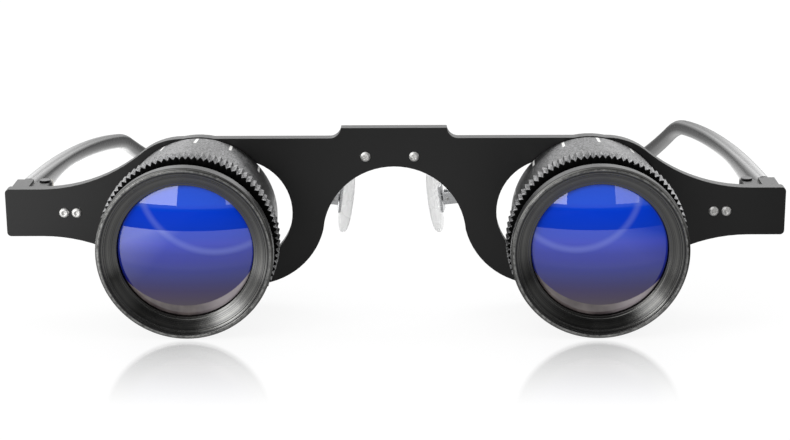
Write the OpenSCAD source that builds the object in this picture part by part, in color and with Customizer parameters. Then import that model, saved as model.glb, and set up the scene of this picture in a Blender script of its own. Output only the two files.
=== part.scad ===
// Binocular glasses: two short focusing telescopes carried by a spectacle frame.
// Millimetres. X runs to the wearer's left, Y from the front to the back, Z up.
// The sub-parts are drawn with the plate's front face at Y 0 and the telescope axes at Z 0.

/* [Part] */
// sub-part to build, or all of them

/* [Front plate] */
// overall width of the plate
plate_w = 149; // [142:1:156]
// thickness of the plate
plate_t = 2.4; // [2:0.1:3]
// height of the plate along its straight middle
plate_h = 29; // [28:0.1:30]
// height of the two ends that carry the temples
end_h = 9.3; // [8.9:0.1:10]
// how far the plate bulges out round the focus rings
rim_margin = 0.1; // [0:0.05:0.6]
// radius of the plate's round shoulders
shoulder_r = 12.2; // [11:0.1:13]
// radius of the long hollow curve between shoulder and strap
waist_r = 31; // [26:1:34]
// radius of the nose arch
arch_r = 13.7; // [12.5:0.1:14.5]
// width of the tab over the nose
tab_w = 20; // [16:1:24]
// how far the tab rises above the plate
tab_rise = 2; // [1:0.25:3]
// radius of the slots' round ends
slot_r = 10.4; // [10:0.1:11]

/* [Eye spacing] */
// widest distance between the telescope axes
eye_max = 74; // [72:0.5:76]
// travel of each telescope along its slot
eye_travel = 7; // [4:0.5:7]

/* [Telescope] */
// length in front of the plate
barrel_len = 28; // [26:0.5:32]
// radius of the fixed tube inside, which the radii below follow
housing_r = 13.3; // [13:0.1:13.8]
// how far the lens seat steps in from the tube
lens_step = 1; // [0.8:0.1:1.6]
// wall of the objective cell
cell_wall = 1.3; // [1:0.1:1.6]
// how far the front rim stands out from the cell
bezel_lip = 1.3; // [0.9:0.05:1.6]
// how far the teeth of the focus ring stand out from the cell
grip_rise = 1.85; // [1.7:0.05:2.3]
// width of the toothed band
knurl_w = 4.9; // [3.5:0.1:5.5]
// depth of the grooves between the teeth
knurl_deep = 0.6; // [0.3:0.05:0.8]
// number of teeth
teeth = 92; // [60:2:110]
// wall of the focus ring beside the plate
ring_wall = 1.4; // [1.2:0.1:1.8]
// travel of the objective for one turn of the focus ring
focus_lead = 6; // [3:0.5:6]

/* [Temples] */
// length from the hinge to the start of the ear bend
arm_len = 78; // [74:1:90]
// length of the straight end behind the ear bend
tip_len = 33; // [28:1:38]
// height of the arm at the hinge
arm_front_h = 8.8; // [8:0.1:9]
// height of the slim part of the arm
arm_h = 3.4; // [3:0.1:4.5]
// thickness of the arm at the hinge
arm_t = 3.2; // [2.6:0.1:3.4]
// slope of the end behind the ear bend
tip_slope = 27; // [22:1:30]
// inward lean of the open arm
arm_lean = 4; // [2:0.5:6]

/* [Nose pads] */
// height of a pad
pad_h = 13.5; // [12:0.5:15]
// width of a pad
pad_w = 7.2; // [6:0.2:8]
// thickness of a pad
pad_t = 2.2; // [1.8:0.1:2.8]
// sideways offset of the pad bracket, as photographed
pad_shift = -0.8; // [-1:0.1:1]

/* [Hidden] */

$fn = 96;
gap = 0.4;
fit = 0.1;
eps = 0.01;

// plate outline
eye_x = eye_max / 2;
slot_out = eye_x + 0.1;
slot_in = eye_x - eye_travel - 0.1;
rim_r = housing_r + ring_wall + rim_margin;
shoulder_x = eye_x + 3.2;
shoulder_z = plate_h / 2 - shoulder_r;
arch_z = -4.75;
foot_r = plate_h / 2;
foot_x = slot_in - 2.2;
foot_join = -3.3;
waist_z = end_h / 2 + waist_r;
waist_x = shoulder_x + sqrt(pow(shoulder_r + waist_r - eps, 2) - pow(waist_z - shoulder_z, 2));
strap_x0 = shoulder_x + 4;
corner_r = 0.8;
tab_fillet = 2.2;

// bridge and end fasteners
screw_x = 4.61;
screw_z = 10.9;
rivet_in = [13.6, 11.2];
rivet_x = [plate_w / 2 - rivet_in[0], plate_w / 2 - rivet_in[1]];
head_r = 0.95;
head_h = 0.45;
shank_r = 0.6;

// telescope, along Y
clear_r = housing_r - lens_step;
cell_r = housing_r + cell_wall;
bezel_r = cell_r + bezel_lip;
knurl_r = cell_r + grip_rise;
ring_rear_r = housing_r + ring_wall;
bezel_w = 2.9;
bezel_chamfer = 0.4;
bezel_front_r = bezel_r - bezel_chamfer;
bezel_land = 0.2;
lens_depth = 2;
groove_w = 4;
cell_lap = 8.2;
housing_lap = 4.3;
housing_wall = 1.1;
end_wall = 1.6;
neck_r = slot_r - 0.3;
neck_bore = 7.9;
lip_t = 1;
lens_edge = 1.6;
retainer_t = 1.4;
bezel_y = -barrel_len;
bezel_back = bezel_y + bezel_w;
knurl_y = bezel_back + groove_w;
knurl_back = knurl_y + knurl_w;
ring_front_r = knurl_r - knurl_deep - 0.05;
cell_back = knurl_y + cell_lap;
pocket_back = cell_back + focus_lead / 2 + 0.4;
housing_y = knurl_y + housing_lap;
seat_y = bezel_y + lens_depth + lip_t;
dome_r = 45;
plate_back = plate_t;
lock_y = plate_back + gap;
lock_w = 2.2;
lock_r = 12.6;
eye_cup_y = lock_y + lock_w;
eye_cup_r = 11.6;
eye_cup_w = 3.6;
eye_lens_r = 8.35;
eye_aperture = 7.6;
neck_end = eye_cup_y + 1.2;
eye_seat = neck_end + 1.3;
marks = 14;
mark_turn = [5.3, -0.4];
mark_w = 0.5;
mark_len = 4.6;
mark_deep = 0.2;

// temple hinge
hinge_in = 6.2;
hinge_x = plate_w / 2 - hinge_in;
hinge_y = plate_back + 6;
knuckle_r = 1.4;
pin_r = 0.6;
mid_half = 1.3;
outer_from = 1.6;
outer_to = 4;
arm_in = 1.9;
lug_t = 3.2;
lug_x = hinge_x + 2.1;
base_t = 1.4;
base_x = rivet_x[0] - 2.7;
base_h = 6.4;
leaf_t = 0.7;
leaf_y = 1.8;
leaf_len = 9;
leaf_h = 4.2;
leaf_screw_y = [4.6, 8];
leaf_screw_r = 0.5;

// temple curve: a long shallow bow, the ear bend and a straight end
top_z = 4.4;
bow_r = 400;
bend_r = 40;
bend_a0 = atan(arm_len / bow_r);
bend_top = top_z - pow(arm_len, 2) / (2 * bow_r) - arm_h / 2;
tip_r = 2.1;
// the left and the right temple are set a little differently, as photographed
arm_droop = [-0.7, 1.35];
tip_trim = [2.5, -2.5];
tips = [hung(0, tip_at(0)), hung(1, tip_at(1))];
tip_y = max(tips[0][0], tips[1][0]);
tip_z = min(tips[0][1], tips[1][1]);
flare_len = 34;
tuck_y = arm_len - 4;
tuck = 0.0028;
arm_back_t = 2.5;

// nose pads, drawn about the rocking pin of the right one
pad_x = 11.2;
pad_y = 7.6;
pad_z = 0.9;
pad_tilt = -8;
pad_splay = -8;
wire_r = 0.55;
wire_step = 0.05;
cheek_in = 0.8;
cheek_t = 0.7;
tongue_r = 0.85;
pad_pin_r = 0.4;
insert_x = -1.6;
insert_t = 0.5;
foot_x0 = 6;
foot_w = 2.4;
strip_t = 1;
strip_r = 1.7;
strip_x = 7;

// place in the part's own frame: centred on X, middle of the depth at Y 0, lowest point at Z 0
lean_depth = hinge_y + (tip_y + tip_r) * cos(arm_lean);
mid_y = (lean_depth + bezel_y) / 2;
base_z = tip_r - tip_z;

// names of sides: the wearer's left is at plus X
function side(name) = name == "right" ? -1 : 1;

module placed() {
    translate([0, -mid_y, base_z]) children();
}

// keeps a piece on its side; the shape is drawn for plus X
module on_side(name) {
    if (name == "left") children();
    else mirror([1, 0, 0]) children();
}

module ring_profile(points) {
    rotate([-90, 0, 0]) rotate_extrude($fn = 144) polygon(points);
}

module rod_y(r, y0, y1) {
    translate([0, y0, 0]) rotate([-90, 0, 0]) cylinder(r = r, h = y1 - y0);
}

module block(x, y, z) {
    translate([x[0], y[0], z[0]]) cube([x[1] - x[0], y[1] - y[0], z[1] - z[0]]);
}

// front plate, drawn flat with its height along the second axis
module plate_half_outline() {
    translate([0, -plate_h / 2]) square([shoulder_x, plate_h]);
    translate([eye_x, 0]) circle(r = rim_r, $fn = 144);
    for (s = [-1, 1]) translate([shoulder_x, s * shoulder_z]) circle(r = shoulder_r, $fn = 144);
    translate([shoulder_x, -shoulder_z]) square([shoulder_r, 2 * shoulder_z]);
    translate([strap_x0, -end_h / 2]) square([plate_w / 2 - strap_x0 - corner_r, end_h]);
    translate([strap_x0, corner_r - end_h / 2]) square([plate_w / 2 - strap_x0, end_h - 2 * corner_r]);
    for (low = [0, 1]) mirror([0, low]) {
        translate([plate_w / 2 - corner_r, end_h / 2 - corner_r]) circle(r = corner_r);
        difference() {
            polygon([[shoulder_x, shoulder_z], [waist_x, 0], [waist_x, waist_z]]);
            translate([waist_x, waist_z]) circle(r = waist_r, $fn = 240);
        }
    }
}

module nose_arch_outline() {
    translate([0, arch_z]) circle(r = arch_r);
    difference() {
        translate([-foot_x, -plate_h]) square([2 * foot_x, plate_h + foot_join]);
        for (s = [-1, 1]) translate([s * foot_x, 0]) circle(r = foot_r);
    }
}

module tab_outline() {
    top = plate_h / 2;
    translate([-tab_w / 2, top - 4]) square([tab_w, 4 + tab_rise]);
    for (s = [-1, 1]) difference() {
        translate([s * (tab_w / 2 + tab_fillet / 2), top + tab_fillet / 2 - eps])
            square([tab_fillet, tab_fillet + 2 * eps], center = true);
        translate([s * (tab_w / 2 + tab_fillet), top + tab_fillet]) circle(r = tab_fillet);
        translate([s * tab_w / 2, top + tab_rise + tab_fillet / 2])
            square([3 * tab_fillet, tab_fillet], center = true);
    }
}

module slot_outline() {
    for (x = [slot_in, slot_out]) translate([x, 0]) circle(r = slot_r);
    translate([slot_in, -slot_r]) square([slot_out - slot_in, 2 * slot_r]);
}

module front_plate() {
    color("#1c1c1c") translate([0, plate_t, 0]) rotate([90, 0, 0]) linear_extrude(plate_t) difference() {
        union() {
            plate_half_outline();
            mirror([1, 0]) plate_half_outline();
            tab_outline();
        }
        nose_arch_outline();
        slot_outline();
        mirror([1, 0]) slot_outline();
        for (x = rivet_x, s = [-1, 1]) translate([s * x, 0]) circle(r = shank_r + 0.02);
        for (s = [-1, 1]) translate([s * screw_x + pad_shift, screw_z]) circle(r = shank_r + 0.02);
    }
}

// a headed fastener through the plate and what it holds behind it
module rivet(y_end) {
    translate([0, -head_h, 0]) rotate([-90, 0, 0]) cylinder(r1 = head_r - 0.2, r2 = head_r, h = head_h);
    rod_y(shank_r, -eps, y_end + eps);
    translate([0, y_end, 0]) rotate([-90, 0, 0]) cylinder(r1 = head_r, r2 = head_r - 0.2, h = head_h);
}

module bridge_screws() {
    color("#c8c8cc") for (s = [-1, 1])
        translate([s * screw_x + pad_shift, 0, screw_z]) rivet(plate_back + strip_t);
}

module pad_bracket() {
    color("#b8b8bc") difference() {
        union() {
            block([pad_shift - strip_x, pad_shift + strip_x], [plate_back, plate_back + strip_t],
                [screw_z - strip_r, screw_z + strip_r]);
            for (s = [-1, 1]) translate([pad_shift + s * strip_x, 0, screw_z])
                rod_y(strip_r, plate_back, plate_back + strip_t);
        }
        for (s = [-1, 1]) translate([s * screw_x + pad_shift, 0, screw_z]) rod_y(shank_r + 0.02, 0, pad_y);
    }
}

// a round wire through a list of points, a little slimmer after each bend
module wire(points, r) {
    for (i = [0 : len(points) - 2]) {
        d = points[i + 1] - points[i];
        h = norm(d);
        translate(points[i]) rotate([0, acos(d[2] / h), atan2(d[1], d[0])])
            cylinder(r = r * (1 - wire_step * i), h = h, $fn = 48);
    }
    for (i = [1 : len(points) - 2]) translate(points[i]) sphere(r = r * (1 + 2 * wire_step), $fn = 48);
}

// frame of a nose pad: origin on the rocking pin, minus x towards the nose
module at_pad() {
    translate([pad_x, pad_y, pad_z]) rotate([0, pad_tilt, pad_splay]) children();
}

// the pads' own shift of the bracket applies after the mirror
module pad_side(name) {
    translate([pad_shift, 0, 0]) on_side(name) children();
}

module pad_arm() color("#b8b8bc") {
    foot_y = plate_back + strip_t;
    block([foot_x0, foot_x0 + foot_w], [foot_y, foot_y + 0.9], [screw_z - 1.2, screw_z + 1.2]);
    wire([[foot_x0 + 1.4, foot_y + 0.5, screw_z - 0.4], [foot_x0 + 4.3, foot_y + 1.2, screw_z - 2],
        [pad_x + 1.5, pad_y - 0.8, pad_z + 4.1], [pad_x + 1.3, pad_y, pad_z + 1.1]], wire_r);
    at_pad() difference() {
        block([-0.9, 1.9], [-cheek_in - cheek_t, cheek_in + cheek_t], [-1.1, 1.3]);
        block([-1, 1.1], [-cheek_in, cheek_in], [-2, 2]);
        rod_y(pad_pin_r, -pad_w / 2, pad_w / 2);
    }
}

module pad_pin() {
    color("#c8c8cc") at_pad() rod_y(pad_pin_r, -cheek_in - cheek_t, cheek_in + cheek_t);
}

module pad_insert() {
    color("#b8b8bc") at_pad() difference() {
        union() {
            rotate([90, 0, 0]) cylinder(r = tongue_r, h = 1, center = true, $fn = 32);
            block([insert_x, 0], [-0.5, 0.5], [-0.45, 0.45]);
            block([insert_x, insert_x + insert_t], [-1.6, 1.6], [-2.6, 2.6]);
        }
        rod_y(pad_pin_r + 0.06, -pad_w / 2, pad_w / 2);
    }
}

module pad_outline() {
    half = pad_h / 2 - pad_w / 2;
    for (s = [-1, 1]) translate([s * half, 0]) circle(r = pad_w / 2);
    square([2 * half, pad_w], center = true);
}

// clear pad: an oblong cushion with a domed face towards the nose
module pad_cushion() {
    face_r = 34;
    color("#e4e4e4", 0.5) at_pad() intersection() {
        translate([insert_x, 0, 0]) rotate([0, -90, 0]) linear_extrude(pad_t) pad_outline();
        translate([insert_x - pad_t + face_r, 0, 0]) sphere(r = face_r, $fn = 240);
    }
}

// telescope pieces, drawn about the axis
module housing() {
    bore = housing_r - housing_wall;
    color("#202020") ring_profile([[bore, housing_y], [housing_r, housing_y], [housing_r, -gap],
        [neck_r, -gap], [neck_r, neck_end], [neck_bore, neck_end], [neck_bore, -gap - end_wall],
        [bore, -gap - end_wall]]);
}

module lock_ring() {
    color("#262626") difference() {
        ring_profile([[neck_r, lock_y], [lock_r, lock_y], [lock_r, eye_cup_y - 0.4],
            [lock_r - 0.4, eye_cup_y], [neck_r, eye_cup_y]]);
        for (a = [45 : 90 : 315]) rotate([0, a, 0])
            block([-1, 1], [eye_cup_y - 1, eye_cup_y + 1], [eye_cup_r + 0.3, lock_r + 1]);
    }
}

module eyepiece() {
    y0 = eye_cup_y;
    y1 = eye_cup_y + eye_cup_w;
    color("#1a1a1a") ring_profile([[neck_r, y0], [eye_cup_r, y0], [eye_cup_r, y1 - 0.6],
        [eye_cup_r - 0.6, y1], [eye_aperture + 2, y1], [eye_aperture, eye_seat + 0.4],
        [eye_aperture, eye_seat], [eye_lens_r + 0.05, eye_seat], [eye_lens_r + 0.05, neck_end],
        [neck_r, neck_end]]);
}

module eye_lens() {
    hollow_r = 42;
    color("#88a0c0", 0.5) difference() {
        rod_y(eye_lens_r, neck_end, eye_seat);
        translate([0, eye_seat - 0.6 + hollow_r, 0]) sphere(r = hollow_r, $fn = 240);
    }
}

// toothed band: teeth with sloping flanks and a narrow flat top, three corners a tooth
module knurl_outline() {
    step = 360 / teeth;
    polygon([for (i = [0 : teeth - 1], p = [[0, knurl_deep], [0.32, 0], [0.68, 0]])
        (knurl_r - p[1]) * [cos(step * (i + p[0])), sin(step * (i + p[0]))]]);
}

module focus_ring(turn) {
    slope = atan((ring_front_r - ring_rear_r) / (-gap - knurl_back));
    color("#2b2b2b") difference() {
        union() {
            ring_profile([[housing_r - 1, -gap], [ring_rear_r, -gap], [ring_front_r, knurl_back],
                [ring_front_r, knurl_y + 0.6], [housing_r - 1, knurl_y + 0.6]]);
            translate([0, knurl_y, 0]) rotate([-90, 0, 0]) linear_extrude(knurl_w) knurl_outline();
        }
        rod_y(cell_r + fit, knurl_y - 1, pocket_back);
        rod_y(housing_r + fit, knurl_y - 1, 1);
        for (i = [0 : marks - 1]) rotate([0, turn + i * 360 / marks, 0])
            translate([0, -gap, ring_rear_r - mark_deep]) rotate([-slope, 0, 0])
                block([-mark_w / 2, mark_w / 2], [-mark_len, 1], [0, 2]);
    }
}

module objective_cell() {
    bore = housing_r + fit;
    color("#202020") ring_profile([[bezel_front_r - bezel_land, bezel_y], [bezel_front_r, bezel_y],
        [bezel_r, bezel_y + bezel_chamfer], [bezel_r, bezel_back], [cell_r, bezel_back],
        [cell_r, cell_back], [bore, cell_back], [bore, seat_y], [clear_r, seat_y],
        [clear_r, bezel_y + lens_depth]]);
}

module objective_lens() {
    sag = dome_r - sqrt(dome_r * dome_r - housing_r * housing_r);
    color("#2850d0", 0.6) intersection() {
        rod_y(housing_r, seat_y - sag, seat_y + lens_edge);
        translate([0, seat_y - sag + dome_r, 0]) sphere(r = dome_r, $fn = 240);
        union() {
            rod_y(clear_r - 0.05, seat_y - sag, seat_y + eps);
            rod_y(housing_r, seat_y, seat_y + lens_edge);
        }
    }
}

module lens_retainer() {
    y0 = seat_y + lens_edge;
    color("#262626") ring_profile([[clear_r, y0], [housing_r, y0], [housing_r, y0 + retainer_t],
        [clear_r, y0 + retainer_t]]);
}

module at_eye(name) {
    translate([side(name) * eye_x, 0, 0]) children();
}

// riveted end bracket with the fixed half of the temple hinge
module bracket() {
    color("#181818") difference() {
        union() {
            block([base_x, lug_x + lug_t], [plate_back, plate_back + base_t], [-base_h / 2, base_h / 2]);
            block([lug_x, lug_x + lug_t], [plate_back, hinge_y - 0.3], [-end_h / 2 + 0.1, end_h / 2 - 0.1]);
            for (z = [outer_from, -outer_to]) {
                block([hinge_x - 1, lug_x + 1], [plate_back + 0.5, hinge_y - 0.3],
                    [z, z + outer_to - outer_from]);
                translate([hinge_x, hinge_y, z]) cylinder(r = knuckle_r, h = outer_to - outer_from);
            }
        }
        for (x = rivet_x) translate([x, 0, 0]) rod_y(shank_r + 0.02, 0, hinge_y);
        translate([hinge_x, hinge_y, -2 * outer_to]) cylinder(r = pin_r, h = 4 * outer_to);
    }
}

module rivets() {
    color("#d0d0d4") for (x = rivet_x) translate([x, 0, 0]) rivet(plate_back + base_t);
}

module hinge_pin() {
    color("#c0c0c4") translate([hinge_x, hinge_y, 0]) {
        translate([0, 0, -outer_to]) cylinder(r = pin_r, h = 2 * outer_to);
        translate([0, 0, outer_to]) cylinder(r = knuckle_r - 0.3, h = 0.4);
    }
}

// frame of a temple: origin on the hinge axis, y along the arm
module at_hinge() {
    translate([hinge_x, hinge_y, 0]) rotate([0, 0, arm_lean]) children();
}

function arm_top(y) = top_z - y * y / (2 * bow_r);
function arm_tall(y) = arm_h + (arm_front_h - arm_h) * pow(max(0, 1 - y / flare_len), 2.2);
function tuck_in(y) = tuck * pow(max(0, y - tuck_y), 2);
function tip_angle(i) = tip_slope + tip_trim[i];
function bend_point(a, r) = [arm_len + bend_r * (sin(a) - sin(bend_a0)) + r * sin(a),
    bend_top - bend_r * (cos(bend_a0) - cos(a)) + r * cos(a)];

function tip_at(i) = bend_point(tip_angle(i), 0)
    + tip_len * [cos(tip_angle(i)), -sin(tip_angle(i))];
// turned down about the hinge, with the front end kept upright
function hung(i, p) = [max(0, p[0] * cos(arm_droop[i]) + p[1] * sin(arm_droop[i])),
    p[1] * cos(arm_droop[i]) - p[0] * sin(arm_droop[i])];

// side view of an arm: bowed top and flared bottom edge, ear bend, round end
module arm_side(i) {
    arm_ys = [for (k = [0 : 16]) arm_len * pow(k / 16, 1.4)];
    bend_as = [for (k = [1 : 8]) bend_a0 + (tip_angle(i) - bend_a0) * k / 8];
    end_as = [for (k = [0 : 10]) 90 - tip_angle(i) - 18 * k];
    outline = concat(
        [for (y = arm_ys) [y, arm_top(y)]],
        [for (a = bend_as) bend_point(a, arm_h / 2)],
        [for (b = end_as) tip_at(i) + tip_r * [cos(b), sin(b)]],
        [for (k = [7 : -1 : 0]) bend_point(bend_as[k], -arm_h / 2)],
        [for (k = [16 : -1 : 0]) [arm_ys[k], arm_top(arm_ys[k]) - arm_tall(arm_ys[k])]]);
    polygon([for (p = outline) hung(i, p)]);
}

// top view of an arm: slowly thinning, then tucked in behind the ear
module arm_plan() {
    n = 14;
    ys = concat([0], [for (i = [0 : n]) tuck_y + (tip_y + tip_r + 1 - tuck_y) * i / n]);
    polygon(concat(
        [for (y = ys) [arm_in + arm_t - (arm_t - arm_back_t) / 2 * min(1, y / arm_len) - tuck_in(y), y]],
        [for (i = [n + 1 : -1 : 0])
            [arm_in + (arm_t - arm_back_t) / 2 * min(1, ys[i] / arm_len) - tuck_in(ys[i]), ys[i]]]));
}

// clearance for a leaf screw through the leaf and into the arm
module leaf_hole(y) {
    translate([arm_in - leaf_t - 1, y, 0]) rotate([0, 90, 0])
        cylinder(r = leaf_screw_r + 0.02, h = leaf_t + 2.6, $fn = 24);
}

module temple(i) {
    color("#242424") at_hinge() difference() {
        intersection() {
            translate([-arm_len, 0, 0]) rotate([90, 0, 90]) linear_extrude(2 * arm_len) arm_side(i);
            translate([0, 0, -arm_len]) linear_extrude(2 * arm_len) arm_plan();
        }
        for (y = leaf_screw_y) leaf_hole(y);
    }
}

module hinge_leaf() {
    x0 = arm_in - leaf_t;
    round_y = leaf_y + leaf_len - leaf_h / 2;
    color("#b0b0b4") at_hinge() difference() {
        union() {
            translate([0, 0, -mid_half]) cylinder(r = knuckle_r, h = 2 * mid_half);
            block([x0 - 0.2, arm_in], [0, leaf_y + 0.4], [-mid_half, mid_half]);
            block([x0, arm_in], [leaf_y, round_y], [-leaf_h / 2, leaf_h / 2]);
            translate([x0, round_y, 0]) rotate([0, 90, 0]) cylinder(r = leaf_h / 2, h = leaf_t);
        }
        translate([0, 0, -outer_to]) cylinder(r = pin_r + 0.05, h = 2 * outer_to);
        for (y = leaf_screw_y) leaf_hole(y);
    }
}

module leaf_screws() {
    x0 = arm_in - leaf_t;
    color("#c8c8cc") at_hinge() for (y = leaf_screw_y) translate([x0, y, 0]) rotate([0, 90, 0]) {
        cylinder(r = leaf_screw_r, h = 2.2, $fn = 24);
        translate([0, 0, -0.3]) cylinder(r1 = 0.75, r2 = 0.95, h = 0.3, $fn = 24);
    }
}

placed() front_plate();
placed() pad_bracket();
placed() bridge_screws();
placed() pad_side("left") pad_arm();  // left_pad_arm
placed() pad_side("left") pad_pin();  // left_pad_pin
placed() pad_side("left") pad_insert();  // left_pad_insert
placed() pad_side("left") pad_cushion();  // left_pad
placed() pad_side("right") pad_arm();  // right_pad_arm
placed() pad_side("right") pad_pin();  // right_pad_pin
placed() pad_side("right") pad_insert();  // right_pad_insert
placed() pad_side("right") pad_cushion();  // right_pad
placed() at_eye("left") housing();  // left_housing
placed() at_eye("left") lock_ring();  // left_lock_ring
placed() at_eye("left") eyepiece();  // left_eyepiece
placed() at_eye("left") eye_lens();  // left_eye_lens
placed() at_eye("left") focus_ring(mark_turn[0]);  // left_focus_ring
placed() at_eye("left") objective_cell();  // left_objective_cell
placed() at_eye("left") objective_lens();  // left_objective_lens
placed() at_eye("left") lens_retainer();  // left_lens_retainer
placed() at_eye("right") housing();  // right_housing
placed() at_eye("right") lock_ring();  // right_lock_ring
placed() at_eye("right") eyepiece();  // right_eyepiece
placed() at_eye("right") eye_lens();  // right_eye_lens
placed() at_eye("right") focus_ring(mark_turn[1]);  // right_focus_ring
placed() at_eye("right") objective_cell();  // right_objective_cell
placed() at_eye("right") objective_lens();  // right_objective_lens
placed() at_eye("right") lens_retainer();  // right_lens_retainer
placed() on_side("left") bracket();  // left_bracket
placed() on_side("left") rivets();  // left_rivets
placed() on_side("left") hinge_pin();  // left_hinge_pin
placed() on_side("left") temple(0);  // left_temple
placed() on_side("left") hinge_leaf();  // left_hinge_leaf
placed() on_side("left") leaf_screws();  // left_leaf_screws
placed() on_side("right") bracket();  // right_bracket
placed() on_side("right") rivets();  // right_rivets
placed() on_side("right") hinge_pin();  // right_hinge_pin
placed() on_side("right") temple(1);  // right_temple
placed() on_side("right") hinge_leaf();  // right_hinge_leaf
placed() on_side("right") leaf_screws();  // right_leaf_screws
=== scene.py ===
# Binocular glasses: the looks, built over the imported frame. X runs to the wearer's left, Y back, Z up.
import bpy, bmesh
import numpy as np
from mathutils import Matrix, Vector


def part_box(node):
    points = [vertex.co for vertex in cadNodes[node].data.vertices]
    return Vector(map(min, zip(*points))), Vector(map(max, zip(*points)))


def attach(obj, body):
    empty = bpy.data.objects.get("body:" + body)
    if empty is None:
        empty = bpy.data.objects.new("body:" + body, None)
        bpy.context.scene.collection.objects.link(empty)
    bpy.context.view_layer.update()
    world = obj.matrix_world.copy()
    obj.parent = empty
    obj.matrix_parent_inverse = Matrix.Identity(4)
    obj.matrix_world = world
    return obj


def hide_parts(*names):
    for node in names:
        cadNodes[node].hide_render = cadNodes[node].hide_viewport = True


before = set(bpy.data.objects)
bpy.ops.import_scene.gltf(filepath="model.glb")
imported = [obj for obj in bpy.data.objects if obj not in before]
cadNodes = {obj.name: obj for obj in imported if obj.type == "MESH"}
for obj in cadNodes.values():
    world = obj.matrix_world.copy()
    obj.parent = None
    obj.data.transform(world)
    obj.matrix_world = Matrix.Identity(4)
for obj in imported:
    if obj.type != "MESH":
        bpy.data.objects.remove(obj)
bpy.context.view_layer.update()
print("frame loaded:", len(cadNodes), "nodes")

# pieces are worked out in millimetres from the plate's front face and the telescope axes
mm = 0.001
ringLow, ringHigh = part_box("left_focus_ring")
origin = np.array([0.0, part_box("front_plate")[0].y, (ringLow.z + ringHigh.z) / 2])
eyeX = (ringLow.x + ringHigh.x) / 2 / mm
sides = {"left": 1, "right": -1}
tiny = 1e-6      # a radius that is merged to a point


# rounds the corners of a closed outline of (radius, y, rounding) rows: each corner is a quadratic curve
# between two cuts, B(t) = (1-t)^2 a + 2t(1-t) corner + t^2 b, with the cuts at most 45% of an edge away
def roundCorners(rows, steps=4):
    rows = np.array(rows, float)
    p, r = rows[:, :2], rows[:, 2:]
    toPrev, toNext = np.roll(p, 1, 0) - p, np.roll(p, -1, 0) - p
    lenPrev = np.linalg.norm(toPrev, axis=1, keepdims=True)
    lenNext = np.linalg.norm(toNext, axis=1, keepdims=True)
    a = p + toPrev / lenPrev * np.minimum(r, 0.45 * lenPrev)
    b = p + toNext / lenNext * np.minimum(r, 0.45 * lenNext)
    t = np.linspace(0, 1, steps + 1)[None, :, None]
    return ((1 - t) ** 2 * a[:, None] + 2 * t * (1 - t) * p[:, None] + t ** 2 * b[:, None]).reshape(-1, 2)


# quads over a grid of points[u, v]; the winding is turned if the enclosed volume comes out negative
def gridPart(points, wrapU=True, wrapV=True):
    nu, nv = points.shape[:2]
    u, v = np.meshgrid(np.arange(nu if wrapU else nu - 1), np.arange(nv if wrapV else nv - 1), indexing="ij")
    u2, v2 = (u + 1) % nu, (v + 1) % nv
    quads = np.stack([u * nv + v, u2 * nv + v, u2 * nv + v2, u * nv + v2], -1).reshape(-1, 4)
    verts = points.reshape(-1, 3)
    a, b, c, d = (verts[quads[:, i]] - verts.mean(0) for i in range(4))
    volume = (np.cross(b, c) * a).sum() + (np.cross(c, d) * a).sum()
    return verts, quads if volume > 0 else quads[:, ::-1]


# points at radius r and depth y, turned by angle about the line through (x, z)
def spun(angle, r, y, x=0.0, z=0.0):
    return np.stack(np.broadcast_arrays(x + r * np.sin(angle), y, z + r * np.cos(angle)), -1)


# a profile of (radius, y) carried round the line x = centre, z = 0
def turned(profile, centre, turns=192):
    angle = np.linspace(0, 2 * np.pi, turns, endpoint=False)[:, None]
    return gridPart(spun(angle, profile[:, 0], profile[:, 1], centre))


# a box with round edges: every point is a corner of the inner box plus radius times a direction
def roundedBlock(low, high, radius, steps=3):
    low, high = np.asarray(low, float), np.asarray(high, float)
    quarter = np.linspace(0, np.pi / 2, steps + 1)
    lon = (np.arange(4)[:, None] * np.pi / 2 + quarter).ravel()[:, None]
    lonMid = (np.repeat(np.arange(4), steps + 1) * np.pi / 2 + np.pi / 4)[:, None]
    lat = np.concatenate([quarter - np.pi / 2, quarter])[None, :]
    up = np.repeat([-1.0, 1.0], steps + 1)[None, :]
    way = np.stack(np.broadcast_arrays(np.cos(lon) * np.cos(lat), np.sin(lon) * np.cos(lat), np.sin(lat)), -1)
    corner = np.stack(np.broadcast_arrays(np.sign(np.cos(lonMid)), np.sign(np.sin(lonMid)), up), -1)
    points = (low + high) / 2 + corner * ((high - low) / 2 - radius) + radius * way
    return gridPart(points, True, False)


# a section carried along a path: point = path + side * halfWide * f(cos v) + up * f(sin v),
# with f(c) = sign(c) |c|^(2/power), so a power of 2 is round and 4 is nearly square
def swept(path, side, up, halfWide, power, around):
    v = np.linspace(0, 2 * np.pi, around, endpoint=False)[None, :, None]
    wide, tall = (np.sign(f(v)) * np.abs(f(v)) ** (2 / power) for f in (np.cos, np.sin))
    points = path[:, None] + side[:, None] * halfWide[:, None, None] * wide + up[:, None] * tall
    return gridPart(points, False, True)


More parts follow.
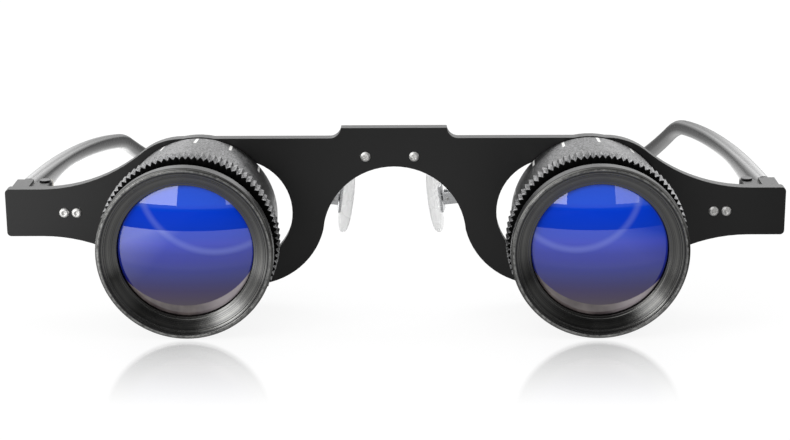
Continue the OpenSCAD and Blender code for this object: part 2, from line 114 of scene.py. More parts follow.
# a round tube on a smooth curve through the given points (Catmull-Rom between each pair)
def tube(through, radius, steps=10, around=20):
    p = np.asarray(through, float)
    p = np.vstack([2 * p[0] - p[1], p, 2 * p[-1] - p[-2]])
    t = np.linspace(0, 1, steps, endpoint=False)[None, :, None]
    a, b, c, d = (p[i:len(p) - 3 + i, None] for i in range(4))
    curve = 0.5 * (2 * b + (c - a) * t + (2 * a - 5 * b + 4 * c - d) * t ** 2
                   + (3 * b - a - 3 * c + d) * t ** 3)
    curve = np.vstack([curve.reshape(-1, 3), p[-2:-1]])
    along = np.gradient(curve, axis=0)
    along /= np.linalg.norm(along, axis=1, keepdims=True)
    side = np.cross(along, [0.3, 0.9, 0.1])      # any direction that the curve never takes
    side /= np.linalg.norm(side, axis=1, keepdims=True)
    up = np.cross(side, along)
    curve, side, up = (np.concatenate([a[:1], a, a[-1:]]) for a in (curve, side, up))
    size = np.full(len(curve), radius)
    size[[0, -1]] = tiny                         # the ends close to a point
    return swept(curve, side, up * size[:, None], size, 2.0, around)


# the matrix of a turn about the X, Y or Z axis, the angle in radians
def rotation(axis, angle):
    i, j = {"X": (1, 2), "Y": (2, 0), "Z": (0, 1)}[axis]
    matrix = np.eye(3)
    matrix[[i, j, i, j], [i, j, j, i]] = np.cos(angle), np.cos(angle), -np.sin(angle), np.sin(angle)
    return matrix


# a part turned by a matrix and shifted; one that the matrix mirrors has its faces turned back
def moved(part, matrix=np.eye(3), by=(0, 0, 0)):
    verts = part[0] @ np.asarray(matrix).T + np.asarray(by, float)
    return verts, part[1] if np.linalg.det(matrix) > 0 else part[1][:, ::-1]


def mirrored(part, side):
    return moved(part, np.diag([sides[side], 1, 1]))


def meshFrom(name, parts):
    starts = np.cumsum([0] + [len(verts) for verts, quads in parts[:-1]])
    allVerts = np.vstack([verts for verts, quads in parts]) * mm + origin
    allQuads = np.vstack([quads + start for (verts, quads), start in zip(parts, starts)])
    mesh = bpy.data.meshes.new(name)
    mesh.from_pydata(allVerts, [], allQuads.tolist())
    work = bmesh.new()
    work.from_mesh(mesh)
    bmesh.ops.remove_doubles(work, verts=work.verts, dist=2e-7)    # closes the seams and the poles
    work.to_mesh(mesh)
    work.free()
    return mesh


def addObject(name, data):
    thing = bpy.data.objects.new(name, data)
    bpy.context.scene.collection.objects.link(thing)
    return thing


def weightNormals(piece):
    piece.modifiers.new("faceNormals", "WEIGHTED_NORMAL").weight = 80


def finishPiece(name, mesh, body, replaced, material, weighted=True):
    piece = addObject(name, mesh)
    mesh.materials.clear()
    mesh.materials.append(material)
    mesh.shade_smooth()
    if weighted:
        weightNormals(piece)
    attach(piece, body)
    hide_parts(*replaced)
    return piece


def addPiece(name, parts, body, replaced, material, weighted=True):
    return finishPiece(name, meshFrom(name, parts), body, replaced, material, weighted)


# in degrees: flatter triangles are joined, sharper edges are bevelled
flatAngle, edgeAngle = 0.6, 32


# a CAD node's own shape with its small edges broken: merged, its flat triangles joined, then bevelled
def edgedCopy(node, body, material, edge, segments=2):
    mesh = cadNodes[node].data.copy()
    work = bmesh.new()
    work.from_mesh(mesh)
    bmesh.ops.remove_doubles(work, verts=work.verts, dist=1e-6)
    bmesh.ops.dissolve_limit(work, angle_limit=np.radians(flatAngle), verts=work.verts, edges=work.edges)
    work.to_mesh(mesh)
    work.free()
    piece = finishPiece(node + "_dressed", mesh, body, [node], material, weighted=False)
    bevel = piece.modifiers.new("edges", "BEVEL")
    bevel.width, bevel.segments, bevel.limit_method = edge * mm, segments, "ANGLE"
    bevel.angle_limit = np.radians(edgeAngle)
    weightNormals(piece)


# an sRGB hex colour, turned to linear
def linear(hexColour):
    c = np.array([int(hexColour[i:i + 2], 16) for i in (1, 3, 5)]) / 255
    return (*np.where(c <= 0.04045, c / 12.92, ((c + 0.055) / 1.055) ** 2.4), 1.0)


def grey(level):
    return (level, level, level, 1.0)


# a pattern's scale, from the size of one of its features in mm
def scaleFor(size):
    return 1 / (size * mm)


# gives a node's sockets values, or links from a socket or from another node's first output
def fillSockets(tree, node, sockets):
    for key, value in sockets.items():
        source = value.outputs[0] if isinstance(value, bpy.types.Node) else value
        if isinstance(source, bpy.types.NodeSocket):
            tree.links.new(source, node.inputs[key])
        else:
            node.inputs[key].default_value = source


# adds a node with its sockets, a ramp's stops (hex colours or grey levels) and its own settings
def addNode(tree, kind, sockets=None, stops=None, **settings):
    node = tree.nodes.new("ShaderNode" + kind)
    for key, value in settings.items():
        setattr(node, key, value)
    fillSockets(tree, node, sockets or {})
    for i, (place, colour) in enumerate(stops or []):
        element = node.color_ramp.elements[i] if i < 2 else node.color_ramp.elements.new(place)
        element.position, element.color = place, linear(colour) if isinstance(colour, str) else grey(colour)
    return node


def startMaterial(name):
    material = bpy.data.materials.new(name)
    material.use_nodes = True
    tree = material.node_tree
    return material, tree, tree.nodes["Principled BSDF"], addNode(tree, "TexCoord").outputs["Object"]


# distance from the nearer telescope's axis, height above it and distance across, away from the nose
def barrelCoords(tree, place):
    place = addNode(tree, "SeparateXYZ", {0: place})
    outward = addNode(tree, "Math", {0: place.outputs[0]}, operation="ABSOLUTE")
    across = addNode(tree, "Math", {0: outward, 1: eyeX * mm}, operation="SUBTRACT")
    height = addNode(tree, "Math", {0: place.outputs[2], 1: float(origin[2])}, operation="SUBTRACT")
    flat = addNode(tree, "CombineXYZ", {0: across, 1: height})
    radius = addNode(tree, "VectorMath", {0: flat}, operation="LENGTH").outputs["Value"]
    return radius, height, across


# turning lines: noise of the radius and the depth alone, so it runs round the axis
def turningLines(tree, place, spacing):
    radius = barrelCoords(tree, place)[0]
    depth = addNode(tree, "SeparateXYZ", {0: place}).outputs[1]
    profile = addNode(tree, "CombineXYZ", {0: radius, 1: depth})
    return addNode(tree, "TexNoise", {"Vector": profile, "Scale": scaleFor(spacing), "Detail": 2.0,
                                      "Roughness": 0.6})


# moulded nylon, satin from a lightly sparked mould: a soft sheen that breaks up finely. The spark marks are
# really about 0.1 mm wide and are drawn at 0.35 mm, so that they show
def satinNylon():
    material, tree, shader, place = startMaterial("satin moulded nylon")
    cloud = addNode(tree, "TexNoise", {"Vector": place, "Scale": scaleFor(22.2), "Detail": 3.0})
    grain = addNode(tree, "TexNoise", {"Vector": place, "Scale": scaleFor(0.35), "Detail": 2.0})
    tone = addNode(tree, "ValToRGB", {0: cloud}, [(0.3, "#0d0d0d"), (0.75, "#151515")])
    rough = addNode(tree, "MapRange", {0: cloud, 3: 0.4, 4: 0.52})
    bump = addNode(tree, "Bump", {"Height": grain, "Strength": 0.12, "Distance": 0.03 * mm})
    fillSockets(tree, shader, {"Base Color": tone, "Roughness": rough, "Normal": bump, "IOR": 1.53,
                               "Specular IOR Level": 0.46})
    return material


# black anodised aluminium: the dyed oxide lets a dark metallic sheen through. Its turning lines or blasting
# pits are really 0.05 to 0.1 mm apart and are drawn at 0.2 to 0.35 mm, so that they show
def anodisedAluminium(name, dark, light, rough, spacing, depth, turnedFinish=True, painted=False):
    material, tree, shader, place = startMaterial(name)
    if turnedFinish:
        lines = turningLines(tree, place, spacing)
    else:
        lines = addNode(tree, "TexNoise", {"Vector": place, "Scale": scaleFor(spacing), "Detail": 3.0,
                                           "Roughness": 0.7})
    tone = addNode(tree, "ValToRGB", {0: lines}, [(0.42, dark), (0.58, light)])
    handling = addNode(tree, "TexNoise", {"Vector": place, "Scale": scaleFor(5.26), "Detail": 4.0})
    rough = addNode(tree, "MapRange", {0: handling, 1: 0.3, 2: 0.7, 3: rough - 0.06, 4: rough + 0.08})
    bump = addNode(tree, "Bump", {"Height": lines, "Strength": 0.3, "Distance": depth * mm})
    metallic = 1.0
    if painted:      # the index lines are filled with white paint
        paint = addNode(tree, "Attribute", attribute_name="paint").outputs["Fac"]
        tone = addNode(tree, "MixRGB", {0: paint, 1: tone, 2: linear("#f6f6f3")})
        metallic = addNode(tree, "MapRange", {0: paint, 3: 1.0, 4: 0.0})
    fillSockets(tree, shader, {"Base Color": tone, "Roughness": rough, "Normal": bump, "Metallic": metallic})
    return material


# distance of a point of the telescope's face from a circle about the point (across, height)
def circleDistance(tree, across, height, about, radius):
    x = addNode(tree, "Math", {0: across, 1: about[0] * mm}, operation="SUBTRACT")
    z = addNode(tree, "Math", {0: height, 1: about[1] * mm}, operation="SUBTRACT")
    flat = addNode(tree, "CombineXYZ", {0: x, 1: z})
    away = addNode(tree, "VectorMath", {0: flat}, operation="LENGTH").outputs["Value"]
    return addNode(tree, "Math", {0: away, 1: radius * mm}, operation="SUBTRACT")


# places are in mm from the telescope axis; the painted ring reflection is set for each side, as photographed
glassLook = dict(clearR=12.3, ringReflectionAt={"left": (-4.6, 12.4), "right": (-5.9, 14.5)},
                 ringReflectionR={"left": 11.9, "right": 14.3}, ringReflectionWide=0.95, ringReflectionLevel=0.34,
                 crescentAt=(0.3, 4.0), crescentR=14.05, litFrom=0.5, litTo=7.5, litLevel=0.75,
                 tintAndPaintedBands=[(0.05, "#4a3e46"), (0.14, "#382255"), (0.2, "#281063"), (0.26, "#1c1678"),
                          (0.32, "#1c268e"), (0.38, "#1428a2"), (0.44, "#0c26b2"), (0.485, "#0e2cba"),
                          (0.575, "#2a44dc"), (0.62, "#1848e0"), (0.8, "#0c48f4"), (0.86, "#0c5cff")])


# vacuum coated polished glass: the coating's deep blue and violet, with painted reflection and painted shade by
# height: a paler band just above the middle, darker towards the bottom. A painted reflection of a ring shows as
# a pale arc, and a grey crescent at the bottom carries a painted highlight
def coatedGlass(side):
    g, k = glassLook, sides[side]
    material, tree, shader, place = startMaterial("coated optical glass, " + side)
    radius, height, across = barrelCoords(tree, place)
    # painted reflection and shade by height: the coating's colour, a paler band above the middle, darker below
    share = addNode(tree, "MapRange", {0: height, 1: -g["clearR"] * mm, 2: g["clearR"] * mm})
    tintAndPaintedBands = addNode(tree, "ValToRGB", {0: share}, g["tintAndPaintedBands"])
    # painted reflection: a pale arc where the glass mirrors a ring
    near = circleDistance(tree, across, height, g["ringReflectionAt"][side], g["ringReflectionR"][side])
    near = addNode(tree, "Math", {0: near}, operation="ABSOLUTE")
    paintedRingReflection = addNode(tree, "MapRange", {0: near, 1: 0.0, 2: g["ringReflectionWide"] * mm, 3: g["ringReflectionLevel"], 4: 0.0},
                    interpolation_type="SMOOTHSTEP")
    # a pale grey crescent along the bottom of the glass
    rim = circleDistance(tree, across, height, g["crescentAt"], g["crescentR"])
    crescent = addNode(tree, "MapRange", {0: rim, 1: 0.0, 2: 0.25 * mm}, interpolation_type="SMOOTHSTEP")
    cloud = addNode(tree, "TexNoise", {"Vector": place, "Scale": scaleFor(3.85)})
    crescentTone = addNode(tree, "ValToRGB", {0: cloud}, [(0.35, "#564d4f"), (0.65, "#857b79")])
    # painted highlight: the crescent is brightest on the wearer's left of each lens
    lit = addNode(tree, "MapRange", {0: across, 1: g["litFrom"] * k * mm, 2: g["litTo"] * k * mm, 3: 0.0,
                                     4: g["litLevel"]}, interpolation_type="SMOOTHSTEP")
    crescentTone = addNode(tree, "MixRGB", {0: lit, 1: crescentTone, 2: linear("#cdc3c9")})
    mixed = addNode(tree, "MixRGB", {0: paintedRingReflection, 1: tintAndPaintedBands, 2: linear("#8ea0ff")})
    mixed = addNode(tree, "MixRGB", {0: crescent, 1: mixed, 2: crescentTone})
    # painted shade: the glass darkens over its last 0.35 mm towards the rim, where the cell shades it
    edge = addNode(tree, "MapRange", {0: radius, 1: (g["clearR"] - 0.35) * mm, 2: (g["clearR"] - 0.05) * mm,
                                      3: 1.0, 4: 0.1})
    shade = addNode(tree, "VectorMath", {0: mixed, 3: edge}, operation="SCALE")
    fillSockets(tree, shader, {"Base Color": shade, "Roughness": 0.3, "Specular IOR Level": 0.0,
                               "Coat Weight": 1.0, "Coat Roughness": 0.015, "Coat IOR": 1.85})
    return material


# crown glass, polished: clear with a faint cool tint
def clearGlass():
    material, tree, shader, place = startMaterial("polished crown glass")
    tint = addNode(tree, "TexNoise", {"Vector": place, "Scale": scaleFor(16.7)})
    tone = addNode(tree, "ValToRGB", {0: tint}, [(0.0, "#dfe6f2"), (1.0, "#eef3fa")])
    fillSockets(tree, shader, {"Base Color": tone, "Roughness": 0.01, "IOR": 1.52, "Transmission Weight": 1.0})
    return material


# injection moulded acetate under a clear lacquer: black, with a broad soft sheen from the lacquer, a faint
# flow ripple and fine rubs from wear
def glossyAcetate():
    material, tree, shader, place = startMaterial("polished acetate, lacquered")
    flow = addNode(tree, "TexNoise", {"Vector": place, "Scale": scaleFor(33.3), "Detail": 2.0})
    rubs = addNode(tree, "TexNoise", {"Vector": place, "Scale": scaleFor(1.11), "Detail": 3.0})
    tone = addNode(tree, "ValToRGB", {0: flow}, [(0.3, "#0c0c0d"), (0.7, "#151516")])
    rough = addNode(tree, "MapRange", {0: rubs, 1: 0.35, 2: 0.75, 3: 0.2, 4: 0.3})
    bump = addNode(tree, "Bump", {"Height": flow, "Strength": 0.15, "Distance": 0.25 * mm})
    # painted sheen: the lacquer coat is full at the hinge and weaker towards the ear, for the brighter light
    # near the hinge
    depth = addNode(tree, "SeparateXYZ", {0: place}).outputs[1]
    fullSheenTo, fadedSheenFrom = float(origin[1]) + 10 * mm, float(origin[1]) + 60 * mm
    sheenFade = addNode(tree, "MapRange", {0: depth, 1: fullSheenTo, 2: fadedSheenFrom, 3: 1.0, 4: 0.45})
    fillSockets(tree, shader, {"Base Color": tone, "Roughness": rough, "Normal": bump, "IOR": 1.48,
                               "Coat Weight": sheenFade, "Coat IOR": 1.7, "Coat Roughness": 0.32})
    return material


# silicone rubber, moulded clear: milky where it is thick, with a skin that is not quite glossy
def clearSilicone():
    material, tree, shader, place = startMaterial("clear silicone rubber")
    haze = addNode(tree, "TexNoise", {"Vector": place, "Scale": scaleFor(2.38), "Detail": 3.0})
    tone = addNode(tree, "ValToRGB", {0: haze}, [(0.3, "#f4f5f4"), (0.7, "#fdfefd")])
    rough = addNode(tree, "MapRange", {0: haze, 3: 0.18, 4: 0.36})
    fillSockets(tree, shader, {"Base Color": tone, "Roughness": rough, "IOR": 1.41, "Transmission Weight": 0.7})
    milk = addNode(tree, "BsdfTranslucent", {0: grey(1.0)})
    both = addNode(tree, "MixShader", {0: 0.74, 1: shader, 2: milk})
    fillSockets(tree, tree.nodes["Material Output"], {0: both})
    return material


# plated or drawn metal: small scratches break up the gloss
def smallMetal(name, dark, light, rough, scratch):
    material, tree, shader, place = startMaterial(name)
    wear = addNode(tree, "TexNoise", {"Vector": place, "Scale": scaleFor(scratch), "Detail": 4.0,
                                      "Roughness": 0.65})
    tone = addNode(tree, "ValToRGB", {0: wear}, [(0.25, dark), (0.75, light)])
    rough = addNode(tree, "MapRange", {0: wear, 3: rough - 0.06, 4: rough + 0.1})
    bump = addNode(tree, "Bump", {"Height": wear, "Strength": 0.2, "Distance": 0.02 * mm})
    fillSockets(tree, shader, {"Base Color": tone, "Roughness": rough, "Normal": bump, "Metallic": 1.0})
    return material


# moulded ABS with an eroded mould finish: dull and even
def mattAbs():
    material, tree, shader, place = startMaterial("matt moulded ABS")
    grain = addNode(tree, "TexVoronoi", {"Vector": place, "Scale": scaleFor(0.3)})
    tone = addNode(tree, "ValToRGB", {0: grain}, [(0.0, "#161617"), (1.0, "#202021")])
    bump = addNode(tree, "Bump", {"Height": grain, "Strength": 0.2, "Distance": 0.03 * mm})
    fillSockets(tree, shader, {"Base Color": tone, "Normal": bump, "Roughness": 0.6, "IOR": 1.54,
                               "Specular IOR Level": 0.35})
    return material


# painted shade for faces down in the grooves and in the ring's shadow: near-black, with some dust and hardly
# any sheen
def paintedGrooveShade():
    material, tree, shader, place = startMaterial("painted groove shade")
    dustAndShade = addNode(tree, "TexNoise", {"Vector": place, "Scale": scaleFor(1.43), "Detail": 3.0})
    tone = addNode(tree, "ValToRGB", {0: dustAndShade}, [(0.35, "#040404"), (0.8, "#0b0b0b")])
    fillSockets(tree, shader, {"Base Color": tone, "Roughness": 0.8, "IOR": 1.4, "Specular IOR Level": 0.1})
    return material


grooveShade = paintedGrooveShade()
nylon = satinNylon()
cellMetal = anodisedAluminium("black anodised aluminium, turned", "#505050", "#6a6a68", 0.24, 0.22, 0.012)
ringMetal = anodisedAluminium("black anodised aluminium, blasted", "#0c0c0d", "#808081", 0.36, 0.34, 0.05,
                              turnedFinish=False, painted=True)
tubeMetal = anodisedAluminium("black anodised aluminium, inner tube", "#303030", "#3c3c3c", 0.38, 0.3, 0.01)
blueGlass = {side: coatedGlass(side) for side in sides}
eyeGlass = clearGlass()
acetate = glossyAcetate()
silicone = clearSilicone()
plated = smallMetal("nickel plated steel", "#f0eeea", "#ffffff", 0.5, 0.5)
gunmetal = smallMetal("gunmetal finished steel", "#2c2c2d", "#474748", 0.34, 0.3)
# painted highlight: lighter metal for the cell's front edge, where its rounding catches the light
edgeHighlightMetal = smallMetal("aluminium, painted edge highlight", "#343434", "#b4b4b2", 0.34, 0.8)
wireMetal = smallMetal("drawn stainless wire", "#a9aaac", "#cfd0d1", 0.26, 0.3)
hingeMetal = smallMetal("stamped nickel silver", "#a39f95", "#c4c0b6", 0.32, 0.4)
eyecupPlastic = mattAbs()
print("materials made")

# the telescopes; radii and depths are in mm
cellSize = dict(frontY=-28.0, rimBack=-25.1, rimR=15.9, flatR=15.5, lipR=15.2, coneDeep=1.9, clearR=12.3,
                seatY=-25.0, boreR=13.4, bodyR=14.6, bodyBack=-12.9, step=0.06)


# front rim and cell, a profile turned about the axis: inside it is a wide cone y = front + deep (lip - r) /
# (lip - clear), with three fine tool grooves in it
def objectiveCell(x):
    c = cellSize
    front, back = c["frontY"], c["rimBack"]
    slope = c["coneDeep"] / (c["lipR"] - c["clearR"])
    inside = [(r, front + (c["lipR"] - r) * slope + sunk, rounding) for r, sunk, rounding in [
        (c["clearR"], 0, 0.05), (12.62, 0.04, 0.04), (12.7, 0, 0.06), (14.44, 0, 0.03), (14.49, 0.09, 0.03),
        (14.54, 0, 0.03), (14.92, 0, 0.03), (14.98, 0.12, 0.03), (15.04, 0, 0.03)]]
    outside = [(c["lipR"], front, 0.1), (c["flatR"], front, 0.12), (c["rimR"], front + 0.4, 0.15),
               (c["rimR"], back - 0.5, 0.05), (c["rimR"] - c["step"], back - 0.42, 0.05),
               (c["rimR"] - c["step"], back, 0.15), (c["bodyR"], back, 0.1)]
    body = [(c["bodyR"], c["bodyBack"], 0.1), (c["boreR"], c["bodyBack"], 0.1), (c["boreR"], c["seatY"], 0.05),
            (c["clearR"], c["seatY"], 0.05)]
    return turned(roundCorners(body + inside + outside), x, 256)


# markFrom and markTo are measured from the ring's back edge; firstMark is where the index lines stand, in
# degrees, as photographed
ringSize = dict(frontY=-21.1, bandBack=-16.2, backY=-0.4, tipR=16.45, toothDeep=0.6, teeth=92, toothCut=0.92,
                runOut=1.1, chamfer=0.09, frontR=15.8, rearR=14.7, boreR=13.4, reliefR=14.7, reliefY=-9.5,
                marks=14, markFrom=4.95, markTo=0.45, markWide=0.5, markSoft=0.08, markDeep=0.07,
                firstMark={"left": 5.3, "right": -0.4})


# 1 on an index line, 0 beside it
def markAt(angle, r, y, side):
    s = ringSize
    step = 2 * np.pi / s["marks"]
    off = (angle - np.radians(s["firstMark"][side]) + step / 2) % step - step / 2
    across = np.clip(((s["markWide"] + s["markSoft"]) / 2 - np.abs(off) * s["rearR"]) / s["markSoft"], 0, 1)
    along = (y > s["backY"] - s["markFrom"]) & (y < s["backY"] - s["markTo"])
    return across * along * (r > s["rearR"] - 0.3)


# focus ring: radius = cone + weight * (root + deep * tooth - cone) - deep * mark, where tooth is a triangle
# wave of the angle cut off near its top and weight is 1 over the band, running out over its last 1.1 mm
def focusRing(x, side):
    s = ringSize
    front, band, back = s["frontY"], s["bandBack"], s["backY"]
    # closer steps where the teeth run out and along the index lines
    depths = np.concatenate([[front, front + s["chamfer"]], np.linspace(front + 0.6, band - 1.3, 6),
                             np.linspace(band - s["runOut"], band, 12),
                             np.linspace(band + 0.6, back - 5.3, 6), np.linspace(back - 5.1, back - 0.3, 22)])
    cone = np.interp(depths, [front, band, back], [s["frontR"], s["frontR"], s["rearR"]])
    weight = np.clip((band - depths) / s["runOut"], 0, 1)
    weight = weight * weight * (3 - 2 * weight)
    ends = np.array([(s["rearR"] - 0.02, back - 0.12), (s["rearR"] - 0.12, back), (s["boreR"] + 0.1, back),
                     (s["boreR"], back - 0.1), (s["boreR"], s["reliefY"]), (s["reliefR"], s["reliefY"]),
                     (s["reliefR"], front + 0.1), (s["reliefR"] + 0.1, front)])
    angle = np.linspace(0, 2 * np.pi, s["teeth"] * 12, endpoint=False)[:, None]
    wave = 1 - np.abs(2 * ((s["teeth"] * angle / (2 * np.pi)) % 1) - 1)
    tooth = np.minimum(wave, s["toothCut"]) / s["toothCut"]
    height = s["tipR"] - s["toothDeep"] * (1 - tooth) - cone - s["chamfer"] * (depths == front)
    r = cone + weight * height
    r = r - s["markDeep"] * markAt(angle, r, depths, side)
    r = np.hstack([r, np.broadcast_to(ends[:, 0], (len(angle), len(ends)))])
    return gridPart(spun(angle, r, np.concatenate([depths, ends[:, 1]]), x))


# vertices or face centres of a piece in mm, from its own telescope's axis
def fromAxis(items, key):
    flat = np.empty(len(items) * 3)
    items.foreach_get(key, flat)
    p = (flat.reshape(-1, 3) - origin) / mm
    p[:, 0] -= np.sign(p[0, 0]) * eyeX
    return p


# an attribute that is 1 on the index lines, for the paint in them
def addPaint(piece, side):
    x, y, z = fromAxis(piece.data.vertices, "co").T
    paint = markAt(np.arctan2(x, z), np.hypot(x, z), y, side)
    piece.data.attributes.new("paint", "FLOAT", "POINT").data.foreach_set("value", paint.astype(np.float32))


# the faces whose middle lies in the given span of depth and radius get a second material
def secondMaterial(piece, material, yFrom, yTo, rFrom, rTo):
    mesh = piece.data
    mesh.materials.append(material)
    index = np.empty(len(mesh.polygons), np.int32)
    mesh.polygons.foreach_get("material_index", index)
    x, y, z = fromAxis(mesh.polygons, "center").T
    r = np.hypot(x, z)
    inside = (y > yFrom) & (y < yTo) & (r > rFrom) & (r < rTo)
    mesh.polygons.foreach_set("material_index", np.where(inside, len(mesh.materials) - 1, index))


lensSize = dict(domeR=45.0, seatR=12.24, edgeR=13.3, seatY=-25.0, backY=-23.4, hollowR=12.1, hollow=0.5,
                chamfer=0.05)


# lens: y = apex + R - sqrt(R^2 - r^2) out to its seat, then its edge and a shallow hollow back,
# y = back - hollow (1 - (r / hollowR)^2)
def objectiveLens(x):
    s = lensSize
    r = np.concatenate([np.linspace(tiny, 11.6, 24), [11.9, 12.1, 12.22]])
    apex = s["seatY"] - (s["domeR"] - np.sqrt(s["domeR"] ** 2 - s["edgeR"] ** 2))
    dome = np.stack([r, apex + s["domeR"] - np.sqrt(s["domeR"] ** 2 - r ** 2)], -1)
    edge, cut = s["edgeR"], s["chamfer"]
    rim = np.array([(s["seatR"], s["seatY"]), (edge - cut, s["seatY"]), (edge, s["seatY"] + cut),
                    (edge, s["backY"] - cut), (edge - cut, s["backY"])])
    back = np.linspace(s["hollowR"], tiny, 16)
    hollow = np.stack([back, s["backY"] - s["hollow"] * (1 - (back / s["hollowR"]) ** 2)], -1)
    return turned(np.vstack([dome, rim, hollow]), x)


tubeSize = dict(frontY=-16.8, outerR=13.3, boreR=12.2, shoulderY=-0.4, floorY=-2.0, neckR=10.1, neckBoreR=7.9,
                backY=6.2, edge=0.15)


# housing: a stepped profile of barrel, shoulder and neck, turned about the axis
def housing(x):
    s = tubeSize
    outline = [(s["boreR"], s["frontY"]), (s["outerR"], s["frontY"]), (s["outerR"], s["shoulderY"]),
               (s["neckR"], s["shoulderY"]), (s["neckR"], s["backY"]), (s["neckBoreR"], s["backY"]),
               (s["neckBoreR"], s["floorY"]), (s["boreR"], s["floorY"])]
    return turned(roundCorners([(r, y, s["edge"]) for r, y in outline]), x)


eyecupSize = dict(frontY=5.0, backY=8.6, outerR=11.6, rimR=9.6, holeR=7.6, seatR=8.4, seatY=7.5)


# eyecup: a profile screwed over the neck, with a round outer edge and a cone down to the eye hole, turned
def eyepiece(x):
    s, neckR, neckY = eyecupSize, tubeSize["neckR"], tubeSize["backY"]
    return turned(roundCorners([
        (neckR, s["frontY"], 0.1), (s["outerR"], s["frontY"], 0.15), (s["outerR"], s["backY"], 0.55),
        (s["rimR"], s["backY"], 0.4), (s["holeR"], s["seatY"] + 0.4, 0.15), (s["holeR"], s["seatY"], 0.05),
        (s["seatR"], s["seatY"], 0.05), (s["seatR"], neckY, 0.05), (neckR, neckY, 0.05)]), x)


eyeLensSize = dict(radius=8.3, frontY=6.2, backY=6.9, hollow=0.6)


# eye lens: flat in front, y = back + hollow (r / R)^2 behind
def eyeLens(x):
    s = eyeLensSize
    r = np.linspace(tiny, s["radius"], 20)
    front = np.stack([r, np.full(len(r), s["frontY"])], -1)
    back = np.stack([r[::-1], s["backY"] + s["hollow"] * (r[::-1] / s["radius"]) ** 2], -1)
    return turned(np.vstack([front, back]), x, 128)


keeperSize = dict(innerR=12.3, outerR=13.3, frontY=-23.4, backY=-22.0, edge=0.1)


# retainer: an oblong section turned about the axis
def retainer(x):
    s = keeperSize
    corners = [(s["innerR"], s["frontY"]), (s["outerR"], s["frontY"]), (s["outerR"], s["backY"]),
               (s["innerR"], s["backY"])]
    return turned(roundCorners([(r, y, s["edge"]) for r, y in corners]), x, 96)


for side, k in sides.items():
    x = k * eyeX
    cell = addPiece(side + "_cell", [objectiveCell(x)], side + "_objective", [side + "_objective_cell"],
                    cellMetal)
    front, back = cellSize["frontY"], cellSize["rimBack"] + 0.01
    secondMaterial(cell, grooveShade, back, 0, 13.9, 14.7)                        # the body, in the ring's shade
    secondMaterial(cell, edgeHighlightMetal, front - 1, front + 0.04, cellSize["lipR"], 15.55)   # painted highlight along the front edge
    secondMaterial(cell, tubeMetal, front + 0.3, back, 15.7, 16)                # the rim's outer side
    ring = addPiece(side + "_ring", [focusRing(x, side)], side + "_focus", [side + "_focus_ring"],
                    ringMetal, weighted=False)
    addPaint(ring, side)
    # painted shade on the ring's front face, down in the groove
    secondMaterial(ring, grooveShade, ringSize["frontY"] - 1, ringSize["frontY"] + 0.03, 0, 20)
    addPiece(side + "_front_glass", [objectiveLens(x)], side + "_objective", [side + "_objective_lens"],
             blueGlass[side], weighted=False)
    addPiece(side + "_tube", [housing(x)], side + "_carriage", [side + "_housing"], tubeMetal)
    edgedCopy(side + "_lock_ring", side + "_carriage", cellMetal, 0.2)
    addPiece(side + "_eyecup", [eyepiece(x)], side + "_carriage", [side + "_eyepiece"],
             eyecupPlastic)
    addPiece(side + "_eye_glass", [eyeLens(x)], side + "_carriage", [side + "_eye_lens"],
             eyeGlass)
    addPiece(side + "_keeper", [retainer(x)], side + "_objective", [side + "_lens_retainer"],
             tubeMetal)
print("telescopes done")

# plate, brackets and hinges keep their CAD shapes; the last number is the width of the broken edge in mm
edgedCopy("front_plate", "frame", nylon, 0.18, segments=3)
for side in sides:
    edgedCopy(side + "_bracket", "frame", nylon, 0.2)
    edgedCopy(side + "_hinge_leaf", side + "_arm", hingeMetal, 0.08)
    edgedCopy(side + "_hinge_pin", "frame", gunmetal, 0.08)
    edgedCopy(side + "_leaf_screws", side + "_arm", plated, 0.06)
    edgedCopy(side + "_pad_pin", "frame", plated, 0.06)
    edgedCopy(side + "_pad_insert", side + "_nose_pad", wireMetal, 0.06)
edgedCopy("pad_bracket", "frame", wireMetal, 0.12)
print("frame pieces done")

# the rivet's half is its head as (radius, height), from the hollow in its middle out to the shank
rivetSize = dict(atX=(60.9, 63.3), backY=3.8, half=[(tiny, 0.16), (0.24, 0.16), (0.3, 0.3), (0.42, 0.43),
                 (0.56, 0.45), (0.72, 0.4), (0.86, 0.26), (0.95, 0.06), (0.95, 0.0), (0.6, 0.0)])


# semi-tubular rivet: the head's half profile in front and again behind, turned about its axis
def rivet(x):
    half = np.array(rivetSize["half"])
    front = np.stack([half[:, 0], -half[:, 1]], -1)
    rear = np.stack([half[::-1, 0], rivetSize["backY"] + half[::-1, 1]], -1)
    return turned(np.vstack([front, rear]), x, 48)


screwSize = dict(atX=(3.81, -5.41), atZ=10.9, headR=0.95, headH=0.45, shankR=0.6, backY=3.8, crossLong=0.55,
                 crossWide=0.13, crossDeep=0.26, crossTurn=0.6)


# screw head: height H (1 - 0.75 (r/R)^4), less a cross sunk where either arm's strip is narrow
def screwHead(x):
    s, turns = screwSize, 144
    r = np.linspace(tiny, s["headR"], 40)[None, :]
    angle = np.linspace(0, 2 * np.pi, turns, endpoint=False)[:, None]
    px, pz = r * np.sin(angle + s["crossTurn"]), r * np.cos(angle + s["crossTurn"])
    arms = [np.clip((s["crossWide"] - np.abs(a)) / 0.04, 0, 1) * (np.abs(b) < s["crossLong"])
            for a, b in ((px, pz), (pz, px))]
    face = -s["headH"] * (1 - 0.75 * (r / s["headR"]) ** 4) + s["crossDeep"] * np.maximum(*arms)
    shank = np.array([(s["headR"], 0), (s["shankR"], 0), (s["shankR"], s["backY"]), (tiny, s["backY"])])
    shankR, shankY = (np.broadcast_to(column, (turns, len(shank))) for column in shank.T)
    r, y = np.hstack([np.broadcast_to(r, face.shape), shankR]), np.hstack([face, shankY])
    return gridPart(spun(angle, r, y, x, s["atZ"]), True, False)


